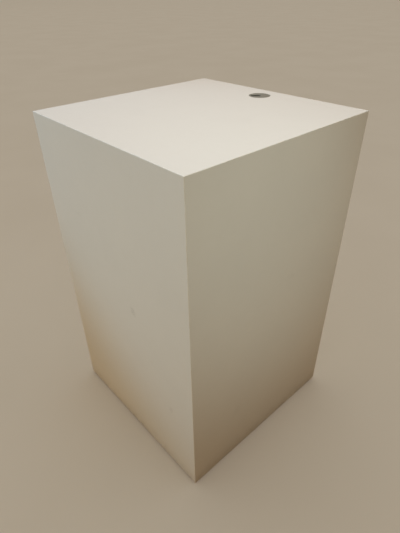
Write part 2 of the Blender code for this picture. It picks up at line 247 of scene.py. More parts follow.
def paint_material():
    """Matt white paint, rolled on: stipple, slight patchiness, rubbed arrises, a blotchy darkening towards
    the floor, and scuffs low down.
    """
    g = Graph("white_matt_paint")
    where = g.where()
    _, edge = edge_distances(g, where)
    z = g.axes(where)[2]
    patchy = g.noise(where, 3.1, 4, 0.55)
    colour = g.mix(g.span(patchy, 0.3, 0.72), PAINT, [v * 0.972 for v in PAINT])
    fine = g.noise(where, 42, 5, 0.6)
    colour = g.mix(g.span(fine, 0.45, 0.8, 0, 0.14), colour, (0.73, 0.70, 0.64))

    # arrises rubbed thin, more in some places than in others
    rub_place = g.span(g.noise(where, 19, 4, 0.65), 0.44, 0.66)
    rub = g.math("MULTIPLY", g.span(edge, 2.6 * MM, 0.3 * MM), rub_place)
    colour = g.mix(g.math("MULTIPLY", rub, 0.42), colour, PAINT_WORN)

    # darker towards the floor, in blotches, and the marks that shoes and trolleys leave
    darker_low = g.span(z, FOOT + 85 * MM, FOOT, 0, 1)
    blotches = g.span(g.noise(where, 23, 5, 0.7), 0.32, 0.75, 0.25, 1)
    darker_low = g.math("MULTIPLY", g.math("POWER", darker_low, 2.2), blotches)
    colour = g.mix(g.math("MULTIPLY", darker_low, 0.30), colour, LOW_DARK_TONE)
    streaks = g.noise(g.stretch(where, (24, 24, 150)), 1.0, 5, 0.72, 1.1)
    knocked_place = g.span(g.noise(where, 9.0, 2, 0.5), 0.52, 0.68)
    low_band = g.span(z, FOOT + 150 * MM, FOOT + 8 * MM)
    scuff = g.math("MULTIPLY", g.span(streaks, 0.60, 0.74), g.math("MULTIPLY", low_band, knocked_place))
    colour = g.mix(g.math("MULTIPLY", scuff, 0.34), colour, (0.33, 0.29, 0.23))

    marks = (  # (centre, reach along each axis, turn, strength)
        ((0.070, -HALF, 0.549), (0.016, 0.02, 0.022), (0, 0.5, 0), 0.30),
        ((0.208, -HALF, 0.268), (0.012, 0.02, 0.019), (0, -0.3, 0), 0.26),
        ((-0.150, -HALF, 0.760), (0.030, 0.02, 0.010), (0, 0.2, 0), 0.07),
        ((HALF, 0.060, 0.610), (0.02, 0.026, 0.012), (0.4, 0, 0), 0.08),
        ((HALF, -0.130, 0.205), (0.02, 0.018, 0.030), (0.2, 0, 0), 0.12),
        ((-HALF, 0.100, 0.420), (0.02, 0.020, 0.034), (0.6, 0, 0), 0.16),
        ((0.110, HALF, 0.330), (0.026, 0.02, 0.018), (0, 0.7, 0), 0.16),
        ((-0.095, -0.120, HEIGHT), (0.050, 0.034, 0.02), (0, 0, 0.6), 0.045),
        ((0.140, 0.030, HEIGHT), (0.022, 0.060, 0.02), (0, 0, -0.4), 0.040),
    )
    dirt = 0.0
    for centre, size, turn, strength in marks:
        patch = g.math("MULTIPLY", smear(g, where, centre, size, turn), strength)
        dirt = g.math("MAXIMUM", dirt, patch)
    colour = g.mix(dirt, colour, (0.30, 0.28, 0.25))

    # roller stipple over a slightly uneven ground, with a few nibs of dust under the paint
    stipple = g.noise(where, 640, 3, 0.55)
    peel = g.noise(where, 240, 2, 0.45)
    ground = g.noise(where, 38, 3, 0.5)
    nib_cells = g.add("ShaderNodeTexVoronoi", {"Vector": where, "Scale": 34.0, "Randomness": 1.0}, "Distance")
    nibs = g.span(nib_cells, 0.030, 0.0)
    height = g.math("MULTIPLY_ADD", ground, 2.4, g.math("MULTIPLY_ADD", nibs, 0.8, stipple))
    height = g.math("MULTIPLY_ADD", peel, 1.3, height)
    roughness = g.math("ADD", g.span(patchy, 0.3, 0.7, 0.54, 0.62), g.math("MULTIPLY", rub, -0.10))
    roughness = g.math("ADD", roughness, g.span(stipple, 0.3, 0.7, -0.03, 0.03))
    g.set(Base_Color=colour, Roughness=roughness, Specular_IOR_Level=0.42)
    g.set(Normal=g.bump(height, 0.13 * MM))
    return g.material


def mdf_material():
    """Bare MDF: matted brown fibres, darker specks, and white overspray near the painted skin."""
    g = Graph("raw_mdf")
    where = g.where()
    depth, _ = edge_distances(g, where)
    fibres = g.noise(g.stretch(where, (1, 1.3, 0.9)), 900, 5, 0.7)
    mats = g.noise(where, 130, 5, 0.65, 0.6)
    colour = g.mix(g.span(mats, 0.3, 0.7), (0.47, 0.335, 0.205), (0.385, 0.262, 0.150))
    colour = g.mix(g.span(fibres, 0.42, 0.72, 0, 0.55), colour, (0.60, 0.46, 0.31))
    specks = g.add("ShaderNodeTexVoronoi", {"Vector": where, "Scale": 420.0}, "Distance")
    colour = g.mix(g.span(specks, 0.16, 0.05, 0, 0.55), colour, (0.20, 0.13, 0.075))
    stain = g.noise(where, 5.5, 3, 0.5)
    colour = g.mix(g.span(stain, 0.35, 0.7, 0, 0.22), colour, (0.30, 0.21, 0.12))
    ragged = g.math("MULTIPLY_ADD", g.noise(where, 160, 4, 0.6), 5.0 * MM, -0.6 * MM)
    overspray = g.span(g.math("SUBTRACT", ragged, depth), -0.5 * MM, 0.9 * MM)
    colour = g.mix(g.math("MULTIPLY", overspray, 0.92), colour, [v * 0.94 for v in PAINT])
    height = g.math("ADD", g.math("MULTIPLY", fibres, 0.6), mats)
    g.set(Base_Color=colour, Roughness=g.span(fibres, 0.3, 0.7, 0.74, 0.90), Specular_IOR_Level=0.25)
    g.set(Normal=g.bump(height, 0.10 * MM))
    return g.material


def softwood_material():
    """Planed pine, its grain along the piece's own Z: growth rings about a pith outside it, and knots."""
    g = Graph("planed_softwood")
    where = g.where()
    chance = g.add("ShaderNodeObjectInfo", {}, "Random")
    shift = g.math("MULTIPLY_ADD", chance, 46 * MM, 18 * MM)
    slide = g.math("MULTIPLY", chance, 37.0)
    x, y, z = g.axes(where)
    along = g.math("ADD", z, slide)
    wander = g.noise(g.scaled((x, y, along), 6, 6, 1), 2.2, 3, 0.5)
    bent = g.math("MULTIPLY_ADD", wander, 26 * MM, -13 * MM)
    px = g.math("ADD", g.math("ADD", x, shift), bent)
    py = g.math("ADD", g.math("ADD", y, 9 * MM), g.math("MULTIPLY", bent, 0.6))
    radius = g.math("SQRT", g.math("ADD", g.math("MULTIPLY", px, px), g.math("MULTIPLY", py, py)))

    # a knot pulls the rings round itself
    knot_cells = {"Vector": g.scaled((x, y, along), 9, 9, 4.2), "Scale": 1.0}
    knot = g.add("ShaderNodeTexVoronoi", knot_cells, "Distance")
    pull = g.span(knot, 0.34, 0.05, 0, 1)
    radius = g.math("ADD", radius, g.math("MULTIPLY", pull, 7 * MM))
    ring_width = 2.7 * MM
    ring = g.math("FRACT", g.math("DIVIDE", radius, ring_width))
    late = g.math("MULTIPLY", g.span(ring, 0.45, 0.93), g.span(ring, 1.0, 0.95))

    colour = g.mix(late, (0.690, 0.500, 0.290), (0.460, 0.262, 0.105))
    long_fibre = g.noise(g.scaled((x, y, z), 900, 900, 26), 1.0, 4, 0.6)
    colour = g.mix(g.span(long_fibre, 0.35, 0.7, 0, 0.30), colour, (0.56, 0.37, 0.19))
    tone = g.noise(g.scaled((x, y, along), 14, 14, 1), 1.6, 2, 0.5)
    colour = g.mix(g.span(tone, 0.3, 0.7, 0, 0.30), colour, (0.76, 0.58, 0.37))
    colour = g.mix(g.span(knot, 0.115, 0.05), colour, (0.235, 0.115, 0.045))
    colour = g.mix(g.math("MULTIPLY", g.span(chance, 0, 1), 0.16), colour, (0.58, 0.38, 0.19))
    height = g.math("ADD", g.math("MULTIPLY", late, 0.9), g.math("MULTIPLY", long_fibre, 0.7))
    g.set(Base_Color=colour, Roughness=g.span(late, 0, 1, 0.66, 0.52), Specular_IOR_Level=0.35)
    g.set(Normal=g.bump(height, 0.09 * MM))
    return g.material


def plastic_material():
    """Grey ABS with a fine spark-eroded texture, patches of dust, and fine scratches."""
    g = Graph("grey_abs")
    where = g.where()
    texture = g.noise(where, 2600, 2, 0.5)
    dust = g.noise(where, 95, 5, 0.68)
    colour = g.mix(g.span(dust, 0.42, 0.75, 0, 0.40), (0.262, 0.250, 0.212), (0.40, 0.375, 0.32))
    scratches = g.noise(g.stretch(where, (160, 2600, 160)), 1.0, 3, 0.6, 0.3)
    scratch = g.span(scratches, 0.66, 0.74)
    colour = g.mix(g.math("MULTIPLY", scratch, 0.30), colour, (0.46, 0.44, 0.39))
    roughness = g.math("MULTIPLY_ADD", dust, 0.22, 0.34)
    g.set(Base_Color=colour, Roughness=roughness, Specular_IOR_Level=0.5)
    g.set(Normal=g.bump(g.math("MULTIPLY_ADD", scratch, -0.8, texture), 0.02 * MM))
    return g.material


def nylon_material():
    """Off-white nylon: faintly translucent, finely scored, and greyed underneath where it slides."""
    g = Graph("white_nylon")
    where = g.where()
    z = g.axes(where)[2]
    wear = g.noise(where, 210, 4, 0.65)
    low = g.span(z, 1.4 * MM, 0.1 * MM)
    worn = g.math("MULTIPLY", low, g.span(wear, 0.3, 0.65, 0.25, 0.85))
    colour = g.mix(worn, (0.71, 0.69, 0.63), (0.25, 0.23, 0.20))
    scored = g.noise(g.stretch(where, (240, 2400, 240)), 1.0, 3, 0.6)
    g.set(Base_Color=colour, Roughness=g.span(wear, 0.3, 0.7, 0.34, 0.52), Subsurface_Weight=0.12)
    g.set(Subsurface_Radius=(0.9 * MM, 0.8 * MM, 0.6 * MM))
    g.set(Normal=g.bump(g.math("ADD", wear, g.math("MULTIPLY", scored, 0.7)), 0.03 * MM))
    return g.material


def zinc_material():
    """Yellow-passivated zinc: iridescent patches from gold to green and rose."""
    g = Graph("yellow_zinc")
    where = g.where()
    chance = g.add("ShaderNodeObjectInfo", {}, "Random")
    shifted = g.add("ShaderNodeVectorMath", {0: where, 1: g.vector(chance, chance, chance)}, operation="ADD")
    tint = g.noise(shifted, 210, 3, 0.5, 0.8)
    colour = g.mix(g.span(tint, 0.3, 0.52), (0.74, 0.56, 0.24), (0.62, 0.60, 0.33))
    colour = g.mix(g.span(tint, 0.55, 0.75), colour, (0.70, 0.44, 0.30))
    grain = g.noise(where, 1500, 3, 0.6)
    g.set(Base_Color=colour, Metallic=1.0, Roughness=g.span(grain, 0.3, 0.7, 0.24, 0.44))
    g.set(Normal=g.bump(grain, 0.015 * MM))
    return g.material


def floor_material():
    """Plain pale floor to the camera. The light it throws back is warm, as from a wooden floor."""
    g = Graph("studio_floor")
    where = g.where()
    cloud = g.noise(where, 1.3, 3, 0.5)
    colour = g.mix(g.span(cloud, 0.3, 0.7), (0.80, 0.725, 0.62), (0.78, 0.705, 0.60))
    seen = g.add("ShaderNodeLightPath", {}, "Is Camera Ray")
    colour = g.mix(seen, (0.84, 0.595, 0.36), colour)
    g.set(Base_Color=colour, Roughness=g.span(cloud, 0.3, 0.7, 0.70, 0.78), Specular_IOR_Level=0.2)
    return g.material


# ---------------------------------------------------------------- mesh helpers


def add_object(name, mesh, *materials):
    item = bpy.data.objects.new(name, mesh)
    bpy.context.scene.collection.objects.link(item)
    if not mesh.materials:
        for finish in materials:
            mesh.materials.append(finish)
    return item


def mesh_of(name, shape):
    bmesh.ops.recalc_face_normals(shape, faces=shape.faces)
    mesh = bpy.data.meshes.new(name)
    shape.to_mesh(mesh)
    shape.free()
    return mesh


def skin_between(shape, ring, following):
    """Quads, or triangles where a ring has shrunk to a point, between two closed rings of vertices."""
    for i in range(len(ring)):
        corners = list(dict.fromkeys((ring[i - 1], ring[i], following[i], following[i - 1])))
        if len(corners) > 2:
            shape.faces.new(corners)


def turned_mesh(name, profile, sides):
    """Turns a closed outline of (radius, height) points about Z. A point on the axis stays one point."""
    shape = bmesh.new()
    turns = [math.tau * i / sides for i in range(sides)]
    rings = []
    for radius, height in profile:
        if radius > 1e-7:
            ring = [shape.verts.new((radius * math.cos(a), radius * math.sin(a), height)) for a in turns]
        else:
            ring = [shape.verts.new((0, 0, height))] * sides
        rings.append(ring)
    for i, ring in enumerate(rings):
        skin_between(shape, rings[i - 1], ring)
    return mesh_of(name, shape)


def lofted_mesh(name, rings):
    """A solid through a list of closed outlines with as many points as each other, capped at both ends."""
    shape = bmesh.new()
    made = [[shape.verts.new(point) for point in ring] for ring in rings]
    for ring, following in zip(made, made[1:]):
        skin_between(shape, ring, following)
    shape.faces.new(made[0])
    shape.faces.new(made[-1])
    return mesh_of(name, shape)


def arc(centre, radius, start, end, steps):
    """Points on an arc, in degrees, both ends included."""
    angles = [math.radians(start + (end - start) * i / steps) for i in range(steps + 1)]
    return [(centre[0] + radius * math.cos(a), centre[1] + radius * math.sin(a)) for a in angles]


def rounded(outline, radii, steps=4):
    """Rounds the corners of a closed (x, y) outline. radii has one value for each corner, 0 for a sharp one.

    Each corner becomes steps + 1 points.
    """
    points = []
    count = len(outline)
    for i, corner in enumerate(outline):
        here = Vector(corner)
        before, after = Vector(outline[i - 1]), Vector(outline[(i + 1) % count])
        radius = radii[i]
        if radius <= 0:
            points.append(tuple(here))
            continue
        into, out = (before - here).normalized(), (after - here).normalized()
        half_angle = into.angle(out) / 2
        reach = radius / math.tan(half_angle)
        centre = here + (into + out).normalized() * (radius / math.sin(half_angle))
        start, end = here + into * reach - centre, here + out * reach - centre
        sweep = start.angle_signed(end)
        for step in range(steps + 1):
            turn = Matrix.Rotation(-sweep * step / steps, 2)
            points.append(tuple(centre + turn @ start))
    return points


def settle(item):
    """Applies an object's modifiers to its mesh."""
    graph = bpy.context.evaluated_depsgraph_get()
    made = bpy.data.meshes.new_from_object(item.evaluated_get(graph), depsgraph=graph)
    made.name = item.name
    item.modifiers.clear()
    item.data = made


def carve(item, cutters, operation="DIFFERENCE"):
    """Cuts closed shapes from a piece, or joins them to it. A cut face takes its cutter's material."""
    for cutter in cutters:
        modifier = item.modifiers.new(cutter.name, "BOOLEAN")
        modifier.operation = operation
        modifier.solver = "EXACT"
        modifier.material_mode = "TRANSFER"
        modifier.object = cutter
    bpy.context.view_layer.update()
    settle(item)


def remove(items):
    for item in items:
        bpy.data.objects.remove(item, do_unlink=True)


def shade(mesh, angle=35):
    mesh.shade_smooth()
    mesh.set_sharp_from_angle(angle=math.radians(angle))


def polish(item):
    """Smooth shading that leaves broad flat faces flat right up to their rounded edges."""
    shade(item.data)
    modifier = item.modifiers.new("weighted", "WEIGHTED_NORMAL")
    modifier.keep_sharp = True
    modifier.weight = 100
    settle(item)


def finish_piece(item, node, body="plinth"):
    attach(item, body)
    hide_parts(node)


# ---------------------------------------------------------------- boards


def rounded_box():
    """The whole box with its arrises sanded round."""
    shape = bmesh.new()
    bmesh.ops.create_cube(shape, size=1.0)
    size = Vector((2 * HALF, 2 * HALF, HEIGHT - FOOT))
    place = Matrix.Translation((0, 0, (HEIGHT + FOOT) / 2)) @ Matrix.Diagonal((*size, 1))
    bmesh.ops.transform(shape, matrix=place, verts=shape.verts)
    bmesh.ops.bevel(
        shape,
        geom=shape.edges[:] + shape.verts[:],
        offset=ARRIS,
        segments=ARRIS_STEPS,
        profile=0.5,
        affect="EDGES",
    )
    return shape


def trimmed(shape, planes):
    """What is left of a solid on the inner side of each plane, given as (point, outward normal).

    Three planes can meet in a spare triangle over a corner, with an open edge, and it is taken off.
    """
    for point, normal in planes:
        cut = bmesh.ops.bisect_plane(
            shape,
            geom=shape.verts[:] + shape.edges[:] + shape.faces[:],
            plane_co=point,
            plane_no=normal,
            dist=1e-7,
            clear_outer=True,
        )
        rim = [edge for edge in cut["geom_cut"] if isinstance(edge, bmesh.types.BMEdge)]
        bmesh.ops.contextual_create(shape, geom=rim)
    flaps = [face for face in shape.faces if any(edge.is_boundary for edge in face.edges)]
    bmesh.ops.delete(shape, geom=flaps, context="FACES")
    return shape


def skin_depth(point):
    return min(HALF - abs(point.x), HALF - abs(point.y), HEIGHT - point.z)


def board_mesh(name, planes, finishes):
    mesh = mesh_of(name, trimmed(rounded_box(), planes))
    for finish in finishes:
        mesh.materials.append(finish)
    painted_depth = 0.6 * MM
    for face in mesh.polygons:
        face.material_index = 0 if skin_depth(face.center) < painted_depth else 1
    return mesh


def side_planes(normal):
    """The planes that trim the box to one side board: its inside face and the mitres to its neighbours."""
    across = Vector((-normal.y, normal.x, 0))
    up = Vector((0, 0, 1))
    corner = normal * HALF
    planes = [(normal * INNER, -normal)]
    for side in (-1, 1):
        edge = corner + across * side * HALF
        planes.append((edge, across * side - normal))
    planes.append((corner + up * HEIGHT, up - normal))
    return planes


def top_planes():
    up = Vector((0, 0, 1))
    planes = [(Vector((0, 0, HEIGHT - BOARD)), -up)]
    for normal in SIDES.values():
        planes.append((normal * HALF + up * HEIGHT, normal - up))
    return planes


def chip_cutters(finish):
    """Small knocks in the lower corners and arrises. Both boards that meet there lose the same bite."""
    base = FOOT
    knocks = (  # (corner or point on an arris, radius of the knock, how deep it bites)
        (Vector((HALF, -HALF, base)), 3.0 * MM, 0.8 * MM),
        (Vector((-HALF, -HALF, base)), 3.4 * MM, 0.9 * MM),
        (Vector((HALF, HALF, base)), 3.8 * MM, 1.2 * MM),
        (Vector((-HALF, HALF, base)), 3.2 * MM, 1.0 * MM),
        (Vector((-HALF, -HALF, base + 0.212)), 2.8 * MM, 0.45 * MM),
        (Vector((HALF, HALF, base + 0.118)), 3.4 * MM, 0.6 * MM),
        (Vector((-HALF, HALF, base + 0.305)), 3.0 * MM, 0.5 * MM),
        (Vector((0.171, -HALF, base)), 3.0 * MM, 0.6 * MM),
        (Vector((HALF, 0.093, base)), 3.4 * MM, 0.6 * MM),
        (Vector((-HALF, -0.144, base)), 3.6 * MM, 0.7 * MM),
        (Vector((-0.203, HALF, base)), 3.2 * MM, 0.7 * MM),
    )
    cutters = []
    for number, (corner, radius, bite) in enumerate(knocks):
        inward = Vector((-corner.x, -corner.y, 0))
        inward = Vector((math.copysign(1, v) if abs(abs(v) - HALF) < ARRIS else 0 for v in inward))
        if abs(corner.z - FOOT) < ARRIS:
            inward.z = 1
        inward.normalize()
        shape = bmesh.new()
        bmesh.ops.create_icosphere(shape, subdivisions=3, radius=radius)
        for vert in shape.verts:
            vert.co *= 1 + 0.16 * noise.noise(vert.co * 700 + Vector((number * 5.3, 0, 0)))
        faces_meeting = sum(1 for v in inward if v != 0)
        rounding = ARRIS * (math.sqrt(faces_meeting) - 1)  # from the sharp corner to the rounded one
        centre = corner + inward * (rounding + bite - radius)
        bmesh.ops.translate(shape, verts=shape.verts, vec=centre)
        mesh = mesh_of(f"knock_{number}", shape)
        mesh.shade_smooth()
        cutters.append(add_object(f"knock_{number}", mesh, finish))
    return cutters


def arch_cutter(finish):
    """The cable arch, with a small ease where the router has been followed by sandpaper."""
    spring = FOOT + ARCH_STRAIGHT
    ease = ARCH_EASE

    def outline(grow, y):
        radius = ARCH_RADIUS + grow
        feet = [(radius, -FOOT), *arc((0, spring), radius, 0, 180, 40), (-radius, -FOOT)]
        return [(x, y, z) for x, z in feet]

    outer, inner = HALF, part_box("base_rail_back")[0].y
    flare = ((2.4, -0.6), (0.3, 0.3), (0, 1))  # (growth, distance inside the face) in eases
    rings = [outline(grow * ease, outer - inside * ease) for grow, inside in flare]
    rings += [outline(grow * ease, inner + inside * ease) for grow, inside in reversed(flare)]
    mesh = lofted_mesh("arch_cutter", rings)
    shade(mesh, 50)
    return add_object("arch_cutter", mesh, finish)


def bore_cutter(finish):
    """The grommet's bore and the shallow seat that its flange lies in."""
    wall = FLANGE_RADIUS - FLANGE_LIP
    seat = GROMMET_AXIS.z - HEIGHT - CAP_THICK - TOUCH
    mouth = FLANGE_RADIUS + TOUCH
    ease = 0.3 * MM
    profile = [
        (0, -2 * BOARD),
        (wall, -2 * BOARD),
        (wall, seat),
        (mouth, seat),
        (mouth, -ease),
        (mouth + ease, 0),
        (mouth + ease, BOARD),
        (0, BOARD),
    ]
    mesh = turned_mesh("bore_cutter", profile, 128)
    shade(mesh, 40)
    cutter = add_object("bore_cutter", mesh, finish)
    cutter.location = (GROMMET_AXIS.x, GROMMET_AXIS.y, HEIGHT)
    return cutter


def make_boards(paint, mdf, holes):
    """Five boards cut from one rounded box along their mitres, so that they meet exactly.

    Gives back the arch's cutter, which the rear rail needs too.
    """
    knocks = chip_cutters(mdf)
    arch = arch_cutter(mdf)
    bore = bore_cutter(mdf)
    for side, normal in SIDES.items():
        mesh = board_mesh(f"{side}_board", side_planes(normal), (paint, mdf))
        board = add_object(f"{side}_board", mesh)
        near = [k for k in knocks if touches(board, k)] + [h for h in holes if touches(board, h)]
        carve(board, near + ([arch] if side == "back" else []))
        polish(board)
        finish_piece(board, f"{side}_panel")
    top = add_object("top_board", board_mesh("top_board", top_planes(), (paint, mdf)))
    carve(top, [bore] + [h for h in holes if touches(top, h)])
    polish(top)
    finish_piece(top, "top_panel")
    remove(knocks + [bore])
    return arch


def corners_of(item):
    points = [item.matrix_world @ Vector(corner) for corner in item.bound_box]
    low = Vector((min(p[i] for p in points) for i in range(3)))
    high = Vector((max(p[i] for p in points) for i in range(3)))
    return low, high


def touches(one, other):
    """Whether two objects' boxes overlap."""
    bpy.context.view_layer.update()
    low_a, high_a = corners_of(one)
    low_b, high_b = corners_of(other)
    return all(low_a[i] < high_b[i] and low_b[i] < high_a[i] for i in range(3))


# ---------------------------------------------------------------- softwood


def timber_mesh(name, width, thickness, length):
    """A planed bar along Z, its long corners eased and its sawn ends just broken."""

    def ring(inset, z):
        w, t = width / 2 - inset, thickness / 2 - inset
        corners = [(-w, -t), (w, -t), (w, t), (-w, t)]
        radius = max(TIMBER_EASE - inset, 0.4 * MM)
        return [(x, y, z) for x, y in rounded(corners, [radius] * 4)]

    ease = TIMBER_END_EASE
    half = length / 2
    rings = [ring(ease, -half), ring(0, -half + ease), ring(0, half - ease), ring(ease, half)]
    return lofted_mesh(name, rings)


def make_timber(node, finish, cutters):
    """Replaces a post, batten or rail, with its grain running along its length."""
    low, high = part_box(node)
    size = high - low
    lengthways = max(range(3), key=lambda i: size[i])
    quarter = math.radians(90)
    turns = (Matrix.Rotation(quarter, 4, "Y"), Matrix.Rotation(quarter, 4, "X"), Matrix())
    turn = turns[lengthways]
    local = turn.inverted() @ size
    width, thickness, length = (abs(v) for v in local)
    bar = add_object(node + "_timber", timber_mesh(node + "_timber", width, thickness, length), finish)
    bar.matrix_world = Matrix.Translation((low + high) / 2) @ turn
    bpy.context.view_layer.update()
    carve(bar, [c for c in cutters if touches(bar, c)])
    polish(bar)
    finish_piece(bar, node)


# ---------------------------------------------------------------- screws


def thread_radius(turn, height, length):
    """The radius of a fully threaded screw's shank in one direction, at a height below its head."""
    share = min(1.0, max(0.0, (length + height) / POINT_LENGTH))
    core, depth = CORE_RADIUS * share, (SHANK_RADIUS - CORE_RADIUS) * math.sqrt(share)
    phase = (height / PITCH - turn / math.tau) % 1.0
    return core + depth * max(0.0, 1 - abs(phase - 0.5) / THREAD_WIDTH)


def screw_mesh(name, length, finish):
    """A countersunk chipboard screw: dished head with a cross recess, coarse thread and a gimlet point."""
    sides = 16
    rows = 7  # to each turn of the thread
    dish = [(0.35, -0.05), (0.75, -0.02), (0.95, 0.0), (1.0, -0.12)]  # (share of the radius, height in mm)
    dish_depth = 0.06 * MM
    neck, neck_height = SHANK_RADIUS + 0.55 * MM, -HEAD_DEPTH + 0.45 * MM
    thread_start, thread_end = -HEAD_DEPTH - 0.4 * MM, -length + 0.15 * MM
    shape = bmesh.new()
    turns = [math.tau * (i + 0.5) / sides for i in range(sides)]  # none in line with the recess's corners

    def ring(radii, height):
        spokes = zip(radii, turns)
        return [shape.verts.new((r * math.cos(turn), r * math.sin(turn), height)) for r, turn in spokes]

    rings = [[shape.verts.new((0, 0, -dish_depth))] * sides]
    rings += [ring([share * HEAD_RADIUS] * sides, height * MM) for share, height in dish]
    rings.append(ring([HEAD_RADIUS] * sides, -HEAD_RIM))
    rings.append(ring([neck] * sides, neck_height))
    height = thread_start
    while height > thread_end:
        rings.append(ring([thread_radius(turn, height, length) for turn in turns], height))
        height -= PITCH / rows
    rings.append([shape.verts.new((0, 0, -length))] * sides)
    for one, following in zip(rings, rings[1:]):
        skin_between(shape, one, following)
    mesh = mesh_of(name, shape)
    shade(mesh, 38)
    blank = add_object(name, mesh, finish)
    recess = recess_cutter(finish)
    carve(blank, [recess])
    remove([recess])
    made = blank.data
    bpy.data.objects.remove(blank)
    return made


def recess_cutter(finish):
    """A cross recess, tapering as it goes down."""
    levels = (  # (height, reach of a wing, half its width)
        (1.0 * MM, 2.35 * MM, 0.42 * MM),
        (-0.9 * MM, 1.75 * MM, 0.36 * MM),
        (-2.3 * MM, 0.55 * MM, 0.26 * MM),
    )
    rings = []
    for height, reach, half in levels:
        wing = [Vector((half, -reach)), Vector((half, -half)), Vector((reach, -half))]
        cross = [Matrix.Rotation(math.radians(90 * i), 2) @ point for i in range(4) for point in wing]
        rings.append([(point.x, point.y, height) for point in cross])
    return add_object("recess", lofted_mesh("recess", rings), finish)


def screw_hole_mesh(name, length):
    """What a screw displaces, a hair larger than it is."""
    spare = 0.12 * MM
    above = 6 * MM  # past the face that the head is sunk in
    profile = [
        (0, above),
        (HEAD_RADIUS + spare, above),
        (HEAD_RADIUS + spare, -HEAD_RIM - spare),
        (SHANK_RADIUS + spare, -HEAD_DEPTH - 2 * spare),
        (SHANK_RADIUS + spare, -length + 5 * MM),
        (0, -length - spare),
    ]
    mesh = turned_mesh(name, profile, 32)
    shade(mesh)
    return mesh


def screw_place(node):
    """(middle of the head, direction it is driven in) from a screw's box: outwards from the axis, or up."""
    low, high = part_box(node)
    size, centre = high - low, (low + high) / 2
    lengthways = max(range(3), key=lambda i: size[i])
    direction = Vector((0, 0, 0))
    direction[lengthways] = 1 if lengthways == 2 else math.copysign(1, centre[lengthways])
    return centre - direction * size[lengthways] / 2, direction


def make_screws(finish, wood):
    """Replaces every screw. Gives back the cutters for the holes that they lie in."""
    nodes = sorted(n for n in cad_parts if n.startswith("screw_"))
    meshes = {}
    cutters = []
    for node in nodes:
        low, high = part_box(node)
        length = max(high - low)
        key = round(length / MM)
        if key not in meshes:
            meshes[key] = (screw_mesh(f"screw_{key}", length, finish), screw_hole_mesh(f"hole_{key}", length))
        head, direction = screw_place(node)
        turn = direction.to_track_quat("-Z", "Y").to_matrix().to_4x4()
        spin = Matrix.Rotation(dice.uniform(0, math.pi / 2), 4, "Z")
        screw = add_object(node.replace("screw_", "fixing_"), meshes[key][0])
        screw.matrix_world = Matrix.Translation(head) @ turn @ spin
        finish_piece(screw, node)
        hole = add_object(f"hole_{node}", meshes[key][1], wood)
        hole.matrix_world = Matrix.Translation(head) @ turn
        cutters.append(hole)
    bpy.context.view_layer.update()
    return cutters


# ---------------------------------------------------------------- glides


def make_glides(finish):
    """Nylon glides: a rounded foot, a recessed screw seat and a fine moulding line round the rim."""
    for node in sorted(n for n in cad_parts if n.startswith("glide_")):
        low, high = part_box(node)
        radius, thick = (high.x - low.x) / 2, high.z - low.z
        hole, mouth = 2.25 * MM, 4.3 * MM
        seat = 1.65 * MM
        profile = [(hole, seat + mouth - hole), (hole, thick)]
        profile += [(radius - 0.3 * MM, thick), (radius, thick - 0.3 * MM)]
        profile += [(radius, 3.3 * MM), (radius - 0.12 * MM, 3.15 * MM), (radius, 3.0 * MM)]
        profile += arc((radius - 1.5 * MM, 1.5 * MM), 1.5 * MM, 0, -90, 8)
        profile += [(mouth + 0.3 * MM, 0), (mouth, 0.3 * MM), (mouth, seat)]
        mesh = turned_mesh(node + "_pad", profile, 72)
        shade(mesh, 40)
        pad = add_object(node + "_pad", mesh, finish)
        pad.location = ((low.x + high.x) / 2, (low.y + high.y) / 2, low.z)
        finish_piece(pad, node)


# ---------------------------------------------------------------- cable grommet


def fillet(profile, radius, steps=3):
    """Rounds the corners of a (radius, height) outline, less where a short edge leaves less room."""
    radii = []
    for i, corner in enumerate(profile):
        before, after = Vector(profile[i - 1]), Vector(profile[(i + 1) % len(profile)])
        room = min((before - Vector(corner)).length, (after - Vector(corner)).length) * 0.45
        radii.append(min(radius, room))
    return rounded(profile, radii, steps)


def make_sleeve(finish):
    """The flange and wall of the grommet, with the ledge inside that the insert rests on."""
    outer, inner, ledge = 26.7 * MM, 25.0 * MM, 23.4 * MM
    foot = -LEDGE_DEPTH - PLASTIC
    profile = [
        (outer, -SLEEVE_DEPTH),
        (outer, -CAP_THICK),
        (FLANGE_RADIUS, -CAP_THICK),
        (FLANGE_RADIUS, 0),
        (inner, 0),
        (inner, -LEDGE_DEPTH),
        (ledge, -LEDGE_DEPTH),
        (ledge, foot),
        (inner, foot - inner + ledge),
        (inner, -SLEEVE_DEPTH),
    ]
    mesh = turned_mesh("grommet_ring", fillet(profile, 0.45 * MM), GROMMET_SIDES)
    shade(mesh, 40)
    ring = add_object("grommet_ring", mesh, finish)
    ring.location = GROMMET_AXIS
    finish_piece(ring, "grommet_sleeve")


def slotted_outline(radius, inset, height):
    """A disc with a round-ended slot cut in from its rim along +X, drawn in by an inset all round."""
    rim = radius - inset
    half = SLOT_WIDTH / 2 + inset
    mouth = math.degrees(math.asin(half / rim))
    points = arc((0, 0), rim, mouth, 360 - mouth, 120)
    slot = arc((SLOT_END, 0), half, -90, -270, SLOT_STEPS)
    return [(x, y, height) for x, y in points + slot]


